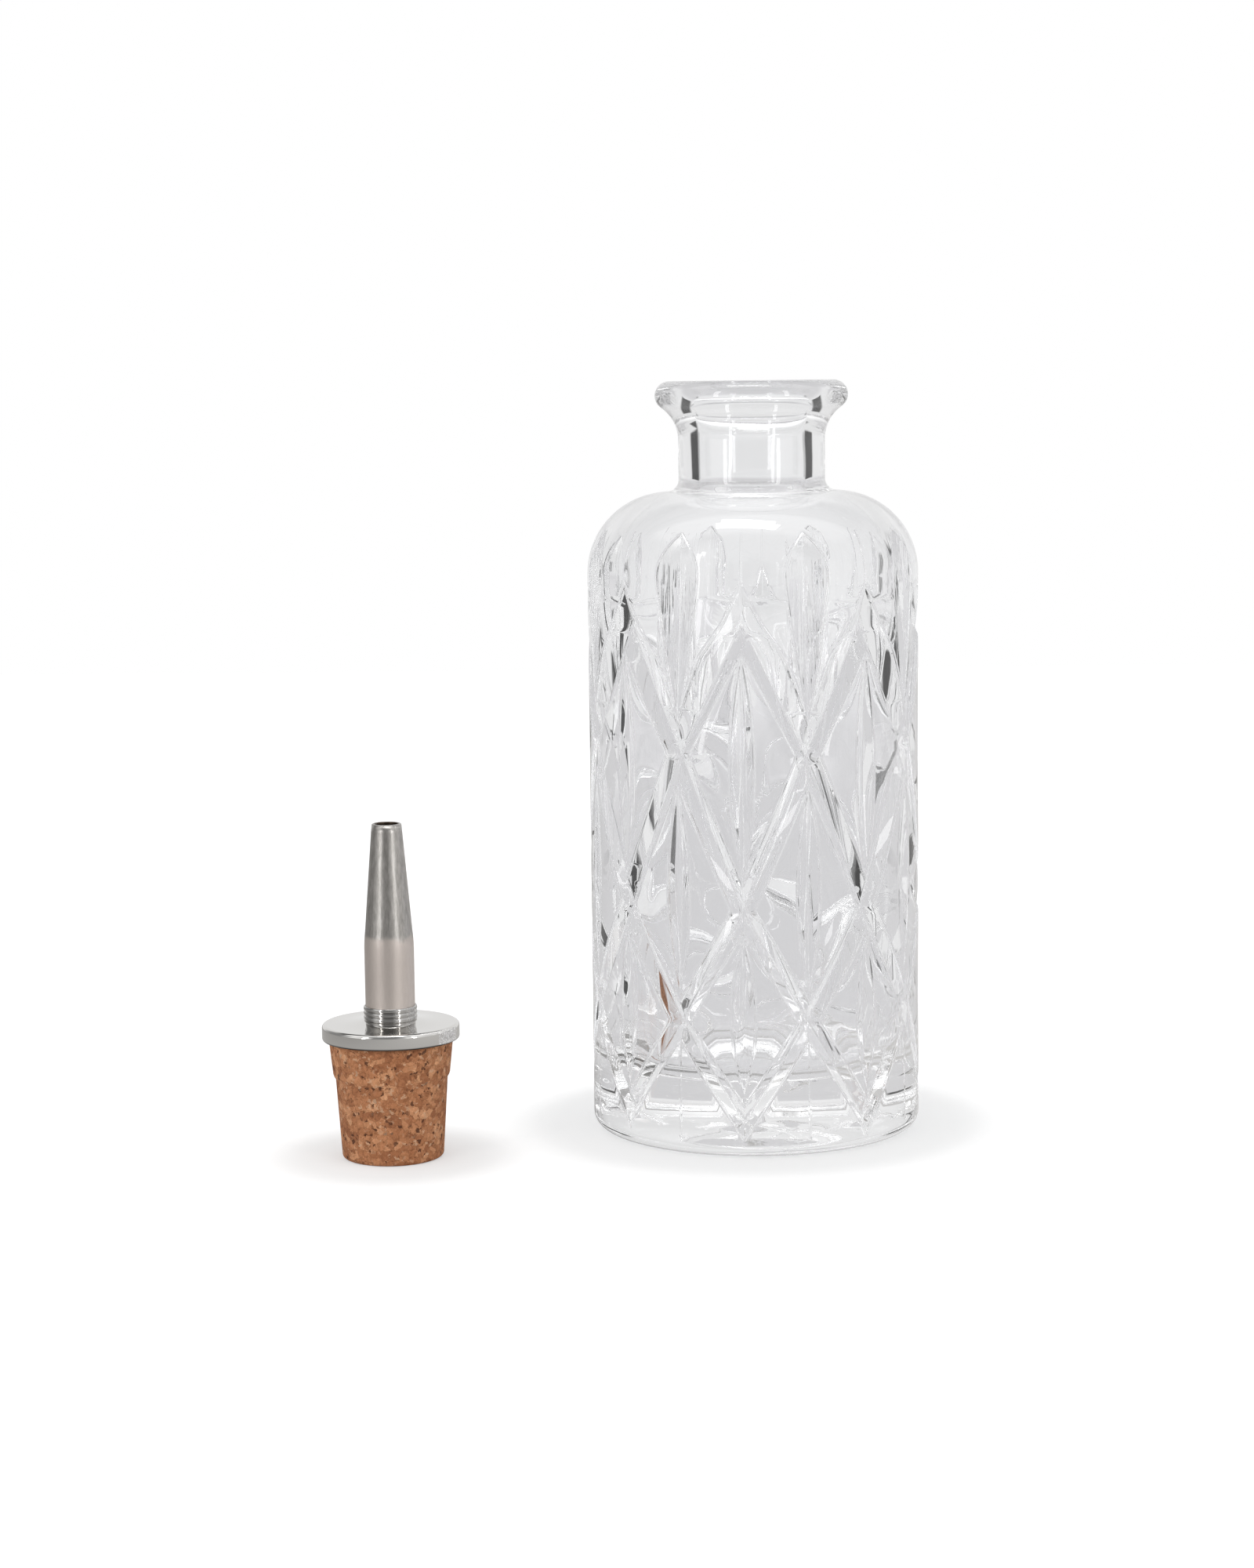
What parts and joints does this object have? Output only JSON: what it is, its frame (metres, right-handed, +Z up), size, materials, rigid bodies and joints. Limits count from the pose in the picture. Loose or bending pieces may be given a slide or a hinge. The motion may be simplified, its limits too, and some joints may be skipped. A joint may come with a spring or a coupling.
{
  "type": "bitters bottle",
  "caption": "Small diamond-cut glass bottle with a rolled lip, and beside it a cork stopper with a polished disc and a tapered steel dasher spout.",
  "frame": {"origin": "centre of the bottle's foot ring, in the plane that it stands on", "axes": "+Z up along the bottle's axis; -Y faces the viewer; the stopper stands towards -X and -Y"},
  "size_m": [0.1037, 0.0658, 0.132],
  "materials": {
    "clear_glass": "clear, fire polished",
    "agglomerated_cork": "matt, granular",
    "polished_steel": "mirror polished",
    "satin_steel": "satin, brushed round"
  },
  "bodies": {
    "bottle": {"glass_bottle": "clear_glass"},
    "stopper": {"cork": "agglomerated_cork", "flange_disc": "polished_steel", "collar": "polished_steel", "spout": "satin_steel", "stem_tube": "satin_steel", "drip_restrictor": "satin_steel"}
  },
  "joints": [
    {"name": "stopper_lift", "type": "slide", "parent": "bottle", "child": "stopper", "axis": [0, 0, 1], "range_m": [0, 0.16]}
  ]
}
